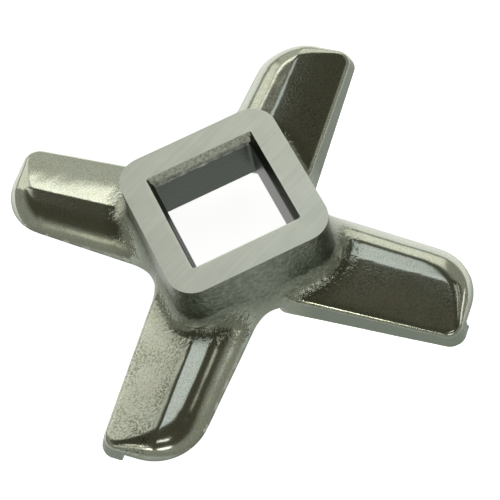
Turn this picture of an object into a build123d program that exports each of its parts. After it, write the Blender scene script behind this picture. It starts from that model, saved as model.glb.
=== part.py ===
"""Four-armed knife of a meat grinder: one stainless casting, millimetres, +Z up.

The origin is on the axis of the square bore, in the plane of the four cutting lands.
The raised square boss points up, and the lands lie on the ground below it.
"""
import os
from math import radians, tan

from build123d import *

# Square drive bore, its lead-in at the top and the round clearance at its lower end
bore_width = 9.2
bore_corner_radius = 0.5
lead_in_width = 10.1
lead_in_depth = 1.0
clearance_radius = 6.6
clearance_depth = 2.6

# Square boss around the bore
boss_wall = 2.35
boss_height = 8.2
boss_corner_radius = 2.4
boss_draft = 1.0
boss_edge_radius = 0.3

# Plan of one arm, measured in the plane of the lands
arm_count = 4
root_radius = 7.0
swing_radius = 22.3
half_root = 5.15
half_tip = 4.35
cutting_corner_radius = 1.3
trailing_corner_radius = 4.5
side_flare = 15.0

# Top of one arm: a flat facet behind the cutting edge, a crease and a rounded back
facet_height_root = 1.9
facet_height_tip = 1.3
crease_height = 3.05
crease_offset = 0.35
back_fall = 0.35
back_radius = 1.5

# Underside: four ground lands that stand below the rest of the casting
land_height = 0.9
land_width = 2.3
land_start_radius = 5.7
land_corner_radius = 1.0

# Cast fillet where the arms grow out of the boss
root_fillet = 1.5

boss_width = lead_in_width + 2 * boss_wall
arm_angle = 360 / arm_count
flare_slope = tan(radians(side_flare))
blank_height = crease_height + 2.0
over = 3.0


def half_width(radius):
    """Half width of an arm at a radius, in the plane of the lands."""
    share = (radius - root_radius) / (swing_radius - root_radius)
    return half_root + (half_tip - half_root) * share


def plane_through(first, along, across):
    """Plane through three points, with its normal pointing up."""
    normal = (Vector(across) - Vector(first)).cross(Vector(along) - Vector(first))
    if normal.Z < 0:
        normal = normal * -1
    return Plane(origin=first, x_dir=Vector(along) - Vector(first), z_dir=normal)


facet_root = (root_radius, -half_root + facet_height_root * flare_slope, facet_height_root)
facet_tip = (swing_radius, -half_tip + facet_height_tip * flare_slope, facet_height_tip)
crease_root = (root_radius, crease_offset, crease_height)
facet_plane = plane_through(facet_root, facet_tip, crease_root)

facet_normal = facet_plane.z_dir
crease_drop = facet_normal.X / facet_normal.Z * (swing_radius - root_radius)
crease_tip = (swing_radius, crease_offset, crease_height - crease_drop)
back_root = (root_radius, half_root, crease_height - back_fall)
back_plane = plane_through(crease_root, crease_tip, back_root)

half_axis = half_width(0)

# Plan of one arm with square corners
with BuildSketch(Plane.XY) as arm_plan:
    with BuildLine():
        Polyline(
            (0, -half_axis),
            (swing_radius, -half_tip),
            (swing_radius, half_tip),
            (0, half_axis),
            close=True,
        )
    make_face()

# One arm: tapered blank, rounded back, flat facet, rounded cutting corner
with BuildPart() as arm:
    with BuildSketch(Plane.XY) as blank_plan:
        add(arm_plan.sketch)
        trailing_corner = blank_plan.vertices().group_by(Axis.X)[-1].sort_by(Axis.Y)[-1]
        fillet(trailing_corner, radius=trailing_corner_radius)
    extrude(amount=blank_height, taper=side_flare)
    split(bisect_by=back_plane, keep=Keep.BOTTOM)
    back_rim = arm.faces().sort_by(Axis.Z)[-1].edges().group_by(Axis.X)[1:]
    back_edges = ShapeList([edge for group in back_rim for edge in group]).sort_by(Axis.Y)[1:]
    fillet(back_edges, radius=back_radius)
    split(bisect_by=facet_plane, keep=Keep.BOTTOM)
    with BuildSketch(Plane.XY) as cutting_plan:
        with BuildLine():
            Polyline(
                (0, -half_axis),
                (swing_radius, -half_tip),
                (swing_radius, half_tip + over),
                (0, half_axis + over),
                close=True,
            )
        make_face()
        cutting_corner = cutting_plan.vertices().group_by(Axis.X)[-1].sort_by(Axis.Y)[0]
        fillet(cutting_corner, radius=cutting_corner_radius)
    extrude(amount=blank_height, taper=side_flare, mode=Mode.INTERSECT)

# The boss with one arm growing out of it through a cast fillet, cut down to its quarter
with BuildPart() as rooted_arm:
    with BuildSketch(Plane.XY.offset(boss_height)):
        RectangleRounded(boss_width, boss_width, boss_corner_radius, rotation=arm_angle / 2)
    extrude(amount=-boss_height - over, taper=-boss_draft)
    top_edges = rooted_arm.edges().group_by(Axis.Z)[-1]
    fillet(top_edges, radius=boss_edge_radius)
    add(arm.part)
    root_edges = rooted_arm.edges(Select.NEW).filter_by(lambda edge: edge.center().Z > land_height / 2)
    fillet(root_edges, radius=root_fillet)
    split(bisect_by=Plane.XZ.rotated((0, 0, arm_angle / 2)), keep=Keep.TOP)
    split(bisect_by=Plane.XZ.rotated((0, 0, -arm_angle / 2)), keep=Keep.BOTTOM)
    split(bisect_by=Plane.XY, keep=Keep.TOP)

# Plan of one ground land, running past the tip of its arm
with BuildSketch(Plane.XY) as land_plan:
    land_start_half = half_width(land_start_radius)
    with BuildLine():
        Polyline(
            (land_start_radius, -land_start_half),
            (swing_radius, -half_tip),
            (swing_radius + over, -half_tip),
            (swing_radius + over, land_width - half_tip),
            (swing_radius, land_width - half_tip),
            (land_start_radius, land_width - land_start_half),
            close=True,
        )
    make_face()
    land_start = land_plan.vertices().group_by(Axis.X)[0]
    fillet(land_start, radius=land_corner_radius)

# All that is cut away below the casting, around the lands
with BuildPart() as underside:
    with BuildSketch(Plane.XY):
        Circle(swing_radius + over)
        with PolarLocations(0, arm_count, start_angle=arm_angle / 2):
            add(land_plan.sketch, mode=Mode.SUBTRACT)
    extrude(amount=land_height)
    Cylinder(
        clearance_radius,
        clearance_depth,
        align=(Align.CENTER, Align.CENTER, Align.MIN),
    )

with BuildPart() as knife:
    with PolarLocations(0, arm_count, start_angle=arm_angle / 2):
        add(rooted_arm.part)
    add(underside.part, mode=Mode.SUBTRACT)
    with BuildSketch(Plane.XY):
        RectangleRounded(bore_width, bore_width, bore_corner_radius)
    extrude(amount=boss_height, mode=Mode.SUBTRACT)
    with BuildSketch(Plane.XY.offset(boss_height)):
        RectangleRounded(lead_in_width, lead_in_width, bore_corner_radius)
    with BuildSketch(Plane.XY.offset(boss_height - lead_in_depth)):
        RectangleRounded(bore_width, bore_width, bore_corner_radius)
    loft(mode=Mode.SUBTRACT)

knife.part.label = "knife"
os.makedirs("parts", exist_ok=True)
export_step(knife.part, "parts/knife.step")
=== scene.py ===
from math import cos, pi, radians, sin, tan

import bpy
import numpy as np
from mathutils import Euler, Matrix, Vector


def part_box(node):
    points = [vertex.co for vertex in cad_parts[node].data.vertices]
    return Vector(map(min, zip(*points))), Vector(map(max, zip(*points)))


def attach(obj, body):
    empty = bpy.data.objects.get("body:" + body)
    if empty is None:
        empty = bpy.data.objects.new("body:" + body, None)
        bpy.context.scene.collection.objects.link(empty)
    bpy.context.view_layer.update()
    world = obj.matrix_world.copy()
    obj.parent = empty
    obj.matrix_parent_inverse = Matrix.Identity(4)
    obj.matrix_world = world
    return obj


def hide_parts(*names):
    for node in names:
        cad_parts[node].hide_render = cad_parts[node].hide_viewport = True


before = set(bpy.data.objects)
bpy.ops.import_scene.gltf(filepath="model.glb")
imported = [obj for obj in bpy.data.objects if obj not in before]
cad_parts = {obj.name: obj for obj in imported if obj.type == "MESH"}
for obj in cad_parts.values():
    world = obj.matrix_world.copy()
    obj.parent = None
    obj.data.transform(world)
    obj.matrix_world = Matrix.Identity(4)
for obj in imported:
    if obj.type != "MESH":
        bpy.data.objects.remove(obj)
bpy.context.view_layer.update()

# ---------------------------------------------------------------------------
# The knife as a distance field, in millimetres, meshed once with crisp edges.
# One arm is described along +X; the field is repeated by a quarter turn.
# ---------------------------------------------------------------------------
low, high = [np.array(corner) * 1000 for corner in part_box("knife")]
boss_height = high[2]

BORE_HALF = 4.6
BORE_CORNER = 0.2
LEAD_HALF = 5.05
LEAD_DEPTH = 1.0
CLEAR_RADIUS = 6.6
CLEAR_DEPTH = 2.6
CLEAR_FLARE = 0.35
BOSS_HALF = 7.4
BOSS_CORNER = 2.4
BOSS_DRAFT = tan(radians(1.0))

ROOT_RADIUS = 7.0
SWING_RADIUS = 22.3
HALF_ROOT = 5.15
HALF_TIP = 4.35
TRAILING_CORNER = 4.5
CUTTING_CORNER = 1.3
FLARE = radians(15.0)

FACET_ROOT = 1.9
FACET_TIP = 1.3
CREASE_HEIGHT = 3.05
CREASE_OFFSET = 0.35
BACK_FALL = 0.35
SHOULDER_RADIUS = 2.3
TIP_SHOULDER_RADIUS = 1.4
FACET_BULGE = 0.0105
FACET_MIDDLE = -2.2
RIM_RADIUS = 0.32
CREASE_RADIUS = 0.04

LAND_HEIGHT = 0.9
LAND_WIDTH = 2.3
LAND_START = 5.7
LAND_CORNER = 1.0
ROOT_FILLET = 1.5
SKIN = 0.02
SKIN_FADE = 1.5

# Where the rim grows into the shoulder across the arm, and the shoulder shrinks before the tip
RIM_END = -4.0
RIM_BLEND = 4.6
TIP_START = 4.5
TIP_BLEND = 3.5

# Meshing: cell size, empty border in cells, halvings of an edge to find the surface,
# probe length for the normals, pull to the cell's mean point and reach past the cell
STEP = 0.2
BORDER = 1.5
HALVINGS = 9
PROBE = 0.01
HOLD = 0.03
REACH = 0.1
SHARP_ANGLE = radians(50)


def plane(first, second, third):
    """Normal and offset of the plane through three points, with its normal up."""
    first, second, third = (np.array(p, float) for p in (first, second, third))
    normal = np.cross(second - first, third - first)
    normal *= np.sign(normal[2]) / np.linalg.norm(normal)
    return normal, normal @ first


def both_round(a, b, radius):
    """Intersection of two fields with a rounded edge."""
    u = np.maximum(a + radius, 0)
    v = np.maximum(b + radius, 0)
    return np.minimum(np.maximum(a, b), -radius) + np.hypot(u, v)


def either_round(a, b, radius):
    """Union of two fields with a concave fillet."""
    return -both_round(-a, -b, radius)


def rounded_square(x, y, half, corner):
    """Plan distance to a square with rounded corners."""
    dx = np.abs(x) - half + corner
    dy = np.abs(y) - half + corner
    outside = np.hypot(np.maximum(dx, 0), np.maximum(dy, 0))
    return outside + np.minimum(np.maximum(dx, dy), 0) - corner


def side_plane(sign):
    """A flared side of the arm: normal and offset, on the trailing (+1) or cutting (-1) side."""
    slope = (HALF_TIP - HALF_ROOT) / (SWING_RADIUS - ROOT_RADIUS)
    normal = np.array([-slope, sign, 0.0])
    normal /= np.linalg.norm(normal)
    offset = normal @ np.array([ROOT_RADIUS, sign * HALF_ROOT, 0])
    normal = np.array([normal[0] * cos(FLARE), normal[1] * cos(FLARE), sin(FLARE)])
    return normal, offset * cos(FLARE)


def wrinkle(x, y, z):
    """Soft unevenness of a cast skin, from 0 down to -1."""
    rng = np.random.default_rng(11)
    total = np.zeros_like(x)
    weight = 0.0
    for wave, share in ((7.0, 1.0), (4.1, 0.7), (2.4, 0.45), (1.5, 0.3)):
        for _ in range(4):
            way = rng.normal(size=3)
            way *= 2 * pi / wave / np.linalg.norm(way)
            total += share * np.sin(x * way[0] + y * way[1] + z * way[2] + rng.uniform(0, 2 * pi))
            weight += share
    return 0.5 * (np.clip(2.2 * total / weight, -1, 1) - 1)


facet_normal, facet_offset = plane(
    (ROOT_RADIUS, -HALF_ROOT + FACET_ROOT * tan(FLARE), FACET_ROOT),
    (SWING_RADIUS, -HALF_TIP + FACET_TIP * tan(FLARE), FACET_TIP),
    (ROOT_RADIUS, CREASE_OFFSET, CREASE_HEIGHT),
)
crease_fall = facet_normal[0] / facet_normal[2] * (SWING_RADIUS - ROOT_RADIUS)
back_normal, back_offset = plane(
    (ROOT_RADIUS, CREASE_OFFSET, CREASE_HEIGHT),
    (SWING_RADIUS, CREASE_OFFSET, CREASE_HEIGHT - crease_fall),
    (ROOT_RADIUS, HALF_ROOT, CREASE_HEIGHT - BACK_FALL),
)
trailing_normal, trailing_offset = side_plane(1)
cutting_normal, cutting_offset = side_plane(-1)
tip_normal = np.array([cos(FLARE), 0, sin(FLARE)])
tip_offset = SWING_RADIUS * cos(FLARE)


def arm_field(x, y, z):
    """One arm along +X, from below the lands up."""

    def off(normal, offset):
        return normal[0] * x + normal[1] * y + normal[2] * z - offset

    trailing = off(trailing_normal, trailing_offset)
    walls = both_round(trailing, off(tip_normal, tip_offset), TRAILING_CORNER)
    walls = both_round(off(cutting_normal, cutting_offset), walls, CUTTING_CORNER)
    facet = off(facet_normal, facet_offset) + FACET_BULGE * (y - FACET_MIDDLE) ** 2
    top = both_round(facet, off(back_normal, back_offset), CREASE_RADIUS)
    share = np.clip((y - RIM_END) / RIM_BLEND, 0, 1)
    share = share * share * (3 - 2 * share)
    tip_share = np.clip((x - SWING_RADIUS + TIP_START) / TIP_BLEND, 0, 1)
    shoulder = SHOULDER_RADIUS + (TIP_SHOULDER_RADIUS - SHOULDER_RADIUS) * tip_share
    rim = RIM_RADIUS + (shoulder - RIM_RADIUS) * share
    return both_round(walls, top, rim)


def land_field(x, y):
    """Plan distance to the ground land of the arm along +X."""
    slope = (HALF_TIP - HALF_ROOT) / (SWING_RADIUS - ROOT_RADIUS)
    edge = HALF_ROOT + slope * (x - ROOT_RADIUS)
    across = np.maximum(-y - edge, y + edge - LAND_WIDTH)
    return both_round(across, LAND_START - x, LAND_CORNER)


def knife_field(p):
    """Distance to the whole knife, negative inside."""
    x, y, z = p[..., 0], p[..., 1], p[..., 2]
    half = BOSS_HALF + (boss_height - z) * BOSS_DRAFT
    boss = rounded_square(x, y, half, BOSS_CORNER)
    turn = np.floor(np.arctan2(y, x) / (pi / 2)) * (pi / 2) + pi / 4
    cast = boss
    lands = None
    for extra in (0, pi / 2, -pi / 2):
        c, s = np.cos(turn + extra), np.sin(turn + extra)
        u, v = x * c + y * s, -x * s + y * c
        cast = either_round(cast, np.maximum(arm_field(u, v, z), -u), ROOT_FILLET)
        land = land_field(u, v)
        lands = land if lands is None else np.minimum(lands, land)
    cast = cast - SKIN * wrinkle(x, y, z) * np.clip((boss_height - z) / SKIN_FADE, 0, 1)
    solid = np.maximum(cast, z - boss_height)
    solid = np.maximum(solid, np.minimum(LAND_HEIGHT - z, lands))
    solid = np.maximum(solid, -z)
    radius = np.hypot(x, y)
    clear = CLEAR_RADIUS + CLEAR_FLARE * (CLEAR_DEPTH - z)
    solid = np.maximum(solid, np.minimum(clear - radius, CLEAR_DEPTH - z))
    lead = np.clip((z - boss_height + LEAD_DEPTH) / LEAD_DEPTH, 0, 1)
    bore = rounded_square(x, y, BORE_HALF + (LEAD_HALF - BORE_HALF) * lead, BORE_CORNER)
    return np.maximum(solid, -bore)


def contour(field, lowest, highest, step):
    """Dual contouring: quads with vertices set on the field's creases."""
    lowest = lowest - BORDER * step
    counts = np.ceil((highest - lowest) / step).astype(int) + 3
    axes = [lowest[i] + step * np.arange(counts[i]) for i in range(3)]
    values = np.empty(counts)
    for k in range(counts[2]):
        grid = np.stack(np.meshgrid(axes[0], axes[1], axes[2][k], indexing="ij"), -1)[:, :, 0]
        values[:, :, k] = field(grid)
    inside = values < 0
    cells = counts - 1
    matrix = np.zeros((cells.prod(), 6))
    right = np.zeros((cells.prod(), 3))
    mean = np.zeros((cells.prod(), 3))
    hits = np.zeros(cells.prod())
    quads = []
    unit = np.eye(3, dtype=int)
    for axis in range(3):
        one, two = (axis + 1) % 3, (axis + 2) % 3
        a = [slice(1, -1)] * 3
        b = [slice(1, -1)] * 3
        a[axis], b[axis] = slice(0, -1), slice(1, None)
        cross = inside[tuple(a)] != inside[tuple(b)]
        start = np.argwhere(cross)
        start[:, one] += 1
        start[:, two] += 1
        end = start + unit[axis]
        va = values[tuple(start.T)]
        vb = values[tuple(end.T)]
        lo = np.zeros(len(start))
        hi = np.ones(len(start))
        base = lowest + start * step
        for _ in range(HALVINGS):
            mid = 0.5 * (lo + hi)
            vm = field(base + mid[:, None] * unit[axis] * step)
            same = (vm < 0) == (va < 0)
            lo = np.where(same, mid, lo)
            hi = np.where(same, hi, mid)
        point = base + (0.5 * (lo + hi))[:, None] * unit[axis] * step
        ahead = [field(point + PROBE * unit[i]) for i in range(3)]
        behind = [field(point - PROBE * unit[i]) for i in range(3)]
        normal = np.stack(ahead, -1) - np.stack(behind, -1)
        normal /= np.maximum(np.linalg.norm(normal, axis=1), 1e-9)[:, None]
        nx, ny, nz = normal.T
        offset = (normal * point).sum(1)
        around = []
        for d1, d2 in ((0, 0), (-1, 0), (-1, -1), (0, -1)):
            cell = start + d1 * unit[one] + d2 * unit[two]
            flat = np.ravel_multi_index(tuple(cell.T), cells)
            around.append(flat)
            for i, term in enumerate((nx * nx, nx * ny, nx * nz, ny * ny, ny * nz, nz * nz)):
                matrix[:, i] += np.bincount(flat, term, len(matrix))
            for i in range(3):
                right[:, i] += np.bincount(flat, normal[:, i] * offset, len(matrix))
                mean[:, i] += np.bincount(flat, point[:, i], len(matrix))
            hits += np.bincount(flat, minlength=len(matrix))
        ring = np.stack(around, -1)
        flip = va < 0
        quads.append(np.where(flip[:, None], ring, ring[:, ::-1]))
    used = np.flatnonzero(hits)
    m = matrix[used]
    centre = mean[used] / hits[used][:, None]
    full = np.stack([m[:, [0, 1, 2]], m[:, [1, 3, 4]], m[:, [2, 4, 5]]], 1)
    full += HOLD * np.eye(3)
    vertex = np.linalg.solve(full, (right[used] + HOLD * centre)[..., None])[..., 0]
    cell = np.stack(np.unravel_index(used, cells), -1)
    corner = lowest + cell * step
    vertex = np.clip(vertex, corner - REACH * step, corner + (1 + REACH) * step)
    index = np.full(len(matrix), -1)
    index[used] = np.arange(len(used))
    return vertex, index[np.concatenate(quads)]


vertices, faces = contour(knife_field, low, high, STEP)
mesh = bpy.data.meshes.new("knife_skin")
mesh.from_pydata((vertices / 1000).tolist(), [], faces.tolist())
mesh.validate()
mesh.update()
for polygon in mesh.polygons:
    polygon.use_smooth = True
mesh.set_sharp_from_angle(angle=SHARP_ANGLE)
skin = bpy.data.objects.new("knife_skin", mesh)
bpy.context.scene.collection.objects.link(skin)
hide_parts("knife")
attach(skin, "root")
print("skin", len(mesh.vertices), "vertices", len(mesh.polygons), "quads")


# ---------------------------------------------------------------------------
# Steel: tumbled cast skin, ground boss face and lands, broached bore
# ---------------------------------------------------------------------------
class Paint:
    """A small helper that builds one node material."""

    def __init__(self, name):
        self.material = bpy.data.materials.new(name)
        self.material.use_nodes = True
        self.tree = self.material.node_tree
        self.shader = self.tree.nodes["Principled BSDF"]
        self.shader.inputs["Metallic"].default_value = 1.0
        self.place = self.add("ShaderNodeTexCoord").outputs["Object"]

    def add(self, kind, **settings):
        node = self.tree.nodes.new(kind)
        for key, value in settings.items():
            setattr(node, key, value)
        return node

    def link(self, source, target):
        self.tree.links.new(source, target)

    def noise(self, size_mm, detail=2.0, stretch=(1, 1, 1), turn=0.0):
        """Noise whose features are about size_mm across."""
        mapping = self.add("ShaderNodeMapping", vector_type="TEXTURE")
        mapping.inputs["Scale"].default_value = stretch
        mapping.inputs["Rotation"].default_value = (0, 0, radians(turn))
        self.link(self.place, mapping.inputs["Vector"])
        node = self.add("ShaderNodeTexNoise")
        node.inputs["Scale"].default_value = 1000 / size_mm
        node.inputs["Detail"].default_value = detail
        self.link(mapping.outputs["Vector"], node.inputs["Vector"])
        return node.outputs["Fac"]

    def attribute(self, name):
        node = self.add("ShaderNodeAttribute", attribute_name=name)
        return node.outputs["Fac"]

    def spread(self, value, lowest, highest, to_low, to_high):
        node = self.add("ShaderNodeMapRange")
        node.clamp = True
        self.link(value, node.inputs["Value"])
        node.inputs["From Min"].default_value = lowest
        node.inputs["From Max"].default_value = highest
        node.inputs["To Min"].default_value = to_low
        node.inputs["To Max"].default_value = to_high
        return node.outputs["Result"]

    def math(self, operation, one, two):
        node = self.add("ShaderNodeMath", operation=operation)
        for socket, value in zip(node.inputs, (one, two)):
            if isinstance(value, (int, float)):
                socket.default_value = value
            else:
                self.link(value, socket)
        return node.outputs["Value"]

    def mix(self, amount, one, two):
        """Colour between two colours or sockets."""
        node = self.add("ShaderNodeMix", data_type="RGBA")
        self.link(amount, node.inputs["Factor"])
        for socket, value in ((node.inputs[6], one), (node.inputs[7], two)):
            if isinstance(value, tuple):
                socket.default_value = (*value, 1)
            else:
                self.link(value, socket)
        return node.outputs[2]

    def bump(self, height, distance_mm, below=None):
        node = self.add("ShaderNodeBump")
        node.inputs["Strength"].default_value = 1.0
        node.inputs["Distance"].default_value = distance_mm / 1000
        self.link(height, node.inputs["Height"])
        if below is not None:
            self.link(below, node.inputs["Normal"])
        return node.outputs["Normal"]


# Finish masks, one number per vertex, which also place painted shade. HOLLOW_REACH is how far the
# rough root, painted darker as shade, reaches from the boss, and a wall is steep, rougher and
# painted darker as shade, where its normal rises less than STEEP_RISE.
HOLLOW_REACH = 2.6
STEEP_RISE = 0.7
STEEP_BLEND = 0.3
PIT_MARGIN = 0.1
PIT_BLEND = 0.4
ARM_PITS = np.array([0.6, 0.12, 1.0, 0.45])

vx, vy, vz = vertices.T
boss_gap = rounded_square(vx, vy, BOSS_HALF + (boss_height - vz) * BOSS_DRAFT, BOSS_CORNER)
normals = np.array([v.normal for v in mesh.vertices])
arm = np.floor(np.arctan2(vy, vx) / (pi / 2)).astype(int) % 4
arm_turn = arm * pi / 2 + pi / 4
across = -vx * np.sin(arm_turn) + vy * np.cos(arm_turn)
masks = {
    "hollow": np.clip(1 - boss_gap / HOLLOW_REACH, 0, 1),
    "steep": np.clip((STEEP_RISE - normals[:, 2]) / STEEP_BLEND, 0, 1),
    "pitted": np.clip((CREASE_OFFSET - PIT_MARGIN - across) / PIT_BLEND, 0, 1) * ARM_PITS[arm],
    # Front and back walls of the bore, which get the painted highlight band and less painted
    # shade
    "front_back_painted_light": (np.abs(vy) > np.abs(vx)).astype(float),
}
for name, values in masks.items():
    layer = mesh.attributes.new(name, "FLOAT", "POINT")
    layer.data.foreach_set("value", values.astype(np.float32))

TUMBLED = (0.5, 0.535, 0.47)
STAINED = (0.51, 0.485, 0.385)
# Colour of the steep walls: painted shade
STEEP_PAINTED_SHADE = (0.145, 0.17, 0.146)
# Near-black colours of the root hollows: painted shade over a real blotchy cast texture
ROOT_PAINTED_SHADE_DARK = (0.07, 0.082, 0.062)
ROOT_PAINTED_SHADE_LIGHT = (0.14, 0.163, 0.13)
# Lighter colour of a band mid-way up the root fillet: painted sheen
ROOT_PAINTED_SHEEN = (0.24, 0.265, 0.215)
PIT_TINT = (0.12, 0.13, 0.09)
GRAIN_TINT = (0.16, 0.17, 0.13)
GROUND_DARK = (0.7, 0.725, 0.65)
GROUND_LIGHT = (0.81, 0.84, 0.755)
# Colours of the band along the bore's lead-in: painted highlight with a real gritty texture
HIGHLIGHT_BAND_DARK = (0.5, 0.55, 0.47)
HIGHLIGHT_BAND_LIGHT = (0.95, 0.98, 0.9)
# Near-black bore wall colours: painted shade inside the bore, darkest on the side walls
BORE_SIDE_PAINTED_SHADE = (0.035, 0.037, 0.026)
BORE_FRONT_PAINTED_SHADE = (0.065, 0.077, 0.064)
SCRATCH_LENGTH = 26.0
SCRATCH_TURN = -68.0
# Heights in metres where the painted highlight band starts and where it is full
HIGHLIGHT_BAND_FROM = 0.0073
HIGHLIGHT_BAND_FULL = 0.0078


def cast_steel():
    """Cast and tumbled skin: rough at the roots, dull on the walls, pitted on the facets; painted
    shade darkens the root hollows and the steep walls, and a painted sheen lightens a band along
    the root fillets.
    """
    paint = Paint("knife_cast_steel")
    speckle = paint.noise(0.18, 2.0)
    patches = paint.spread(paint.noise(3.2, 2.0), 0.35, 0.55, 0.25, 1.0)
    hollow = paint.attribute("hollow")
    steep = paint.attribute("steep")
    pitted = paint.math("MULTIPLY", paint.attribute("pitted"), patches)
    pits = paint.math("MULTIPLY", paint.spread(speckle, 0.38, 0.52, 1.0, 0.0), pitted)
    rough = paint.math("MAXIMUM", hollow, steep)
    stain = paint.spread(paint.noise(1.3, 3.0), 0.42, 0.66, 0.0, 0.35)
    # Steep walls are mixed to a much darker colour: painted shade (the stain beneath it is real)
    tint = paint.mix(steep, paint.mix(stain, TUMBLED, STAINED), STEEP_PAINTED_SHADE)
    # Root hollows near the boss are mixed to a dark blotchy colour: painted shade over a real
    # blotchy cast texture
    blotch = paint.spread(paint.noise(0.4, 4.0), 0.35, 0.65, 0, 1)
    root_mottle_and_painted_light = paint.mix(blotch, ROOT_PAINTED_SHADE_DARK, ROOT_PAINTED_SHADE_LIGHT)
    # rim is a band mid-way up the root fillet, mixed to a lighter colour as painted sheen and
    # made a little glossier
    smooth = paint.math("SUBTRACT", 1.0, hollow)
    rim = paint.math("MULTIPLY", smooth, paint.math("MULTIPLY", hollow, 4.0))
    root_mottle_and_painted_light = paint.mix(rim, root_mottle_and_painted_light, ROOT_PAINTED_SHEEN)
    tint = paint.mix(hollow, tint, root_mottle_and_painted_light)
    tint = paint.mix(paint.math("MULTIPLY", pits, 0.85), tint, PIT_TINT)
    grains = paint.spread(paint.noise(0.13, 3.0), 0.36, 0.64, 0.0, 0.32)
    tint = paint.mix(grains, tint, GRAIN_TINT)
    paint.link(tint, paint.shader.inputs["Base Color"])
    dull = paint.spread(rough, 0, 1, 0.14, 0.4)
    dull = paint.math("SUBTRACT", dull, paint.math("MULTIPLY", rim, 0.12))
    paint.link(dull, paint.shader.inputs["Roughness"])
    relief = paint.bump(paint.noise(1.8, 1.0), 0.006)
    relief = paint.bump(paint.math("MULTIPLY", paint.noise(0.35, 3.0), hollow), 0.1, relief)
    relief = paint.bump(paint.noise(0.3, 3.0), 0.0014, relief)
    paint.link(paint.bump(pits, -0.004, relief), paint.shader.inputs["Normal"])
    return paint.material


def ground_steel():
    """Ground faces with fine parallel scratches."""
    paint = Paint("knife_ground_steel")
    paint.shader.inputs["Roughness"].default_value = 0.4
    scratch = paint.noise(0.3, 3.0, (1.0, SCRATCH_LENGTH, 1.0), SCRATCH_TURN)
    scratches = paint.spread(scratch, 0.3, 0.7, 0, 0.6)
    blotches = paint.spread(paint.noise(2.2, 3.0), 0.3, 0.7, 0, 0.4)
    shade = paint.math("ADD", scratches, blotches)
    paint.link(paint.mix(shade, GROUND_DARK, GROUND_LIGHT), paint.shader.inputs["Base Color"])
    paint.link(paint.bump(scratch, 0.006), paint.shader.inputs["Normal"])
    return paint.material


def bore_steel():
    """Bore walls painted near black as painted shade, darker on the side walls; along the lead-in
    of the front and back walls a lighter, less metallic band of painted highlight.
    """
    paint = Paint("knife_bore_steel")
    paint.shader.inputs["Roughness"].default_value = 0.35
    # A band high on the front and back walls, along the lead-in, is painted light and less
    # metallic: painted highlight
    heights = paint.add("ShaderNodeSeparateXYZ")
    paint.link(paint.place, heights.inputs["Vector"])
    ragged = paint.math("MULTIPLY", paint.noise(0.8, 3.0), 0.0006)
    depth = paint.math("ADD", heights.outputs["Z"], ragged)
    band = paint.spread(depth, HIGHLIGHT_BAND_FROM, HIGHLIGHT_BAND_FULL, 0, 1)
    front_back_painted_light = paint.math("MULTIPLY", band, paint.attribute("front_back_painted_light"))
    paint.link(paint.spread(front_back_painted_light, 0, 1, 1.0, 0.2), paint.shader.inputs["Metallic"])
    grit = paint.noise(0.25, 3.0)
    highlight_band_tint = paint.mix(paint.spread(grit, 0.35, 0.65, 0, 1), HIGHLIGHT_BAND_DARK, HIGHLIGHT_BAND_LIGHT)
    # The bore walls are painted near black: painted shade, darker on the side walls than on the
    # front and back
    wall = paint.mix(paint.attribute("front_back_painted_light"), BORE_SIDE_PAINTED_SHADE, BORE_FRONT_PAINTED_SHADE)
    paint.link(paint.mix(front_back_painted_light, wall, highlight_band_tint), paint.shader.inputs["Base Color"])
    paint.link(paint.bump(grit, 0.03), paint.shader.inputs["Normal"])
    return paint.material


for material in (cast_steel(), ground_steel(), bore_steel()):
    mesh.materials.append(material)

# Which faces are ground (the boss's top and the lands) and which line the bore
GROUND, BORE = 1, 2
LEVEL = 0.97
TOP_DEPTH = 0.06
LAND_DEPTH = 0.05
BORE_MARGIN = 0.02
CLEAR_MARGIN = 0.1
for polygon in mesh.polygons:
    x, y, z = polygon.center * 1000
    up = polygon.normal.z
    inner = rounded_square(np.array(x), np.array(y), LEAD_HALF + BORE_MARGIN, BORE_CORNER)
    if (up > LEVEL and z > boss_height - TOP_DEPTH) or (up < -LEVEL and z < LAND_DEPTH):
        polygon.material_index = GROUND
    elif inner < 0 and z > CLEAR_DEPTH - CLEAR_MARGIN:
        polygon.material_index = BORE

# ---------------------------------------------------------------------------
# Stage, lights and camera
# ---------------------------------------------------------------------------
# The floor lies a hair below the lands, so that the two faces never fight for one place
FLOOR_SIZE = 4
FLOOR_DROP = 0.0001
bpy.ops.mesh.primitive_plane_add(size=FLOOR_SIZE, location=(0, 0, -FLOOR_DROP))
floor = bpy.context.object
floor.name = "floor"
floor_paint = bpy.data.materials.new("floor_paint")
floor_paint.use_nodes = True
floor_shader = floor_paint.node_tree.nodes["Principled BSDF"]
floor_shader.inputs["Base Color"].default_value = (0.9, 0.9, 0.9, 1)
floor_shader.inputs["Roughness"].default_value = 0.9
floor_shader.inputs["Emission Color"].default_value = (1, 1, 1, 1)
floor_shader.inputs["Emission Strength"].default_value = 0.9
floor.data.materials.append(floor_paint)

scene = bpy.context.scene
scene.view_settings.view_transform = "Standard"

# Elevations in degrees where the lighter ring ends and the dark sky is full
RING_TOP = 34
SKY_START = 44


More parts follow.
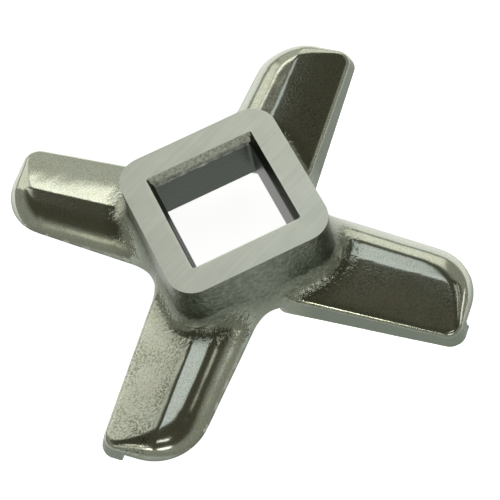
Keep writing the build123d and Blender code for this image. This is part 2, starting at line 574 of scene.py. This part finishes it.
def studio():
    """World: a lighter ring near the horizon and a dark sky above it."""
    world = bpy.data.worlds.new("studio")
    world.use_nodes = True
    nodes, links = world.node_tree.nodes, world.node_tree.links
    way = nodes.new("ShaderNodeTexCoord")
    split = nodes.new("ShaderNodeSeparateXYZ")
    height = nodes.new("ShaderNodeMapRange")
    height.inputs["From Min"].default_value = sin(radians(RING_TOP))
    height.inputs["From Max"].default_value = sin(radians(SKY_START))
    shades = nodes.new("ShaderNodeMix")
    shades.data_type = "RGBA"
    ring, sky = shades.inputs[6], shades.inputs[7]
    ring.default_value = (0.4, 0.4, 0.34, 1)
    sky.default_value = (0.09, 0.086, 0.06, 1)
    links.new(way.outputs["Generated"], split.inputs["Vector"])
    links.new(split.outputs["Z"], height.inputs["Value"])
    links.new(height.outputs["Result"], shades.inputs["Factor"])
    links.new(shades.outputs[2], nodes["Background"].inputs["Color"])
    nodes["Background"].inputs["Strength"].default_value = 1.0
    return world


scene.world = studio()


def direction(azimuth, elevation):
    az, el = radians(azimuth), radians(elevation)
    return Vector((cos(az) * cos(el), sin(az) * cos(el), sin(el)))


PANEL_DISTANCE = 0.6


def panel(name, start, end, breadth, strength, color):
    """A soft panel from one direction to another, facing the knife."""
    a, b = direction(*start), direction(*end)
    middle = (a + b).normalized()
    along = (b - a).normalized()
    light = bpy.data.lights.new(name, "AREA")
    light.shape = "RECTANGLE"
    light.size = (b - a).length * PANEL_DISTANCE
    light.size_y = breadth
    light.energy = strength * light.size * light.size_y * pi
    light.color = color
    lamp = bpy.data.objects.new(name, light)
    facing = Matrix((along, middle.cross(along), middle)).transposed().to_4x4()
    lamp.matrix_world = Matrix.Translation(middle * PANEL_DISTANCE) @ facing
    scene.collection.objects.link(lamp)


panel("cool_panel", (80, 80), (64, 49), 0.21, 1.0, (0.91, 0.96, 1.0))
panel("back_left", (88, 22), (128, 22), 0.31, 0.92, (1.0, 0.98, 0.9))
panel("back_middle", (63, 17), (88, 17), 0.28, 0.31, (0.96, 1.0, 0.92))
panel("back_right", (38, 22), (63, 22), 0.31, 0.92, (1.0, 0.98, 0.9))
panel("back_top", (68, 37), (86, 37), 0.085, 2.0, (1.0, 0.98, 0.9))
panel("warm_panel", (104, 44), (124, 44), 0.15, 0.9, (1.0, 0.99, 0.91))
panel("left_panel", (-170, 30), (-146, 34), 0.1, 0.6, (1.0, 0.97, 0.8))
panel("rim_spot", (-149, 36), (-139, 36), 0.06, 8.0, (1.0, 0.97, 0.84))
panel("tip_spot", (-168, 47), (-154, 43), 0.045, 4.0, (1.0, 0.98, 0.9))
panel("front_spot", (-114, 38), (-90, 38), 0.06, 3.5, (1.0, 0.98, 0.9))
panel("crown_spot", (-116, 64), (-84, 60), 0.045, 2.6, (0.98, 1.0, 0.96))
panel("top_fill", (100, 84), (180, 82), 0.14, 0.05, (1.0, 0.9, 0.76))
panel("side_mid", (-22, 57), (4, 58), 0.07, 0.85, (1.0, 1.0, 0.88))
panel("side_low", (-28, 24), (-8, 24), 0.08, 1.9, (1.0, 0.99, 0.95))
panel("side_high", (-18, 45), (4, 50), 0.025, 1.4, (1.0, 0.98, 0.9))

# The photograph's camera: place in metres, angles in degrees, focal length in pixels
CAMERA_PLACE = (-0.0157348, -0.0761113, 0.1304808)
CAMERA_TILT = 29.699
CAMERA_LEAN = 7.318
CAMERA_HEADING = -25.142
FOCAL_PIXELS = 1692.68
IMAGE_PIXELS = 500
SENSOR = 36
camera_data = bpy.data.cameras.new("camera")
camera_data.sensor_width = SENSOR
camera_data.lens = FOCAL_PIXELS / IMAGE_PIXELS * SENSOR
camera_data.clip_start = 0.01
camera = bpy.data.objects.new("camera", camera_data)
camera.location = CAMERA_PLACE
camera.rotation_euler = Euler([radians(a) for a in (CAMERA_TILT, CAMERA_LEAN, CAMERA_HEADING)])
scene.collection.objects.link(camera)
scene.camera = camera
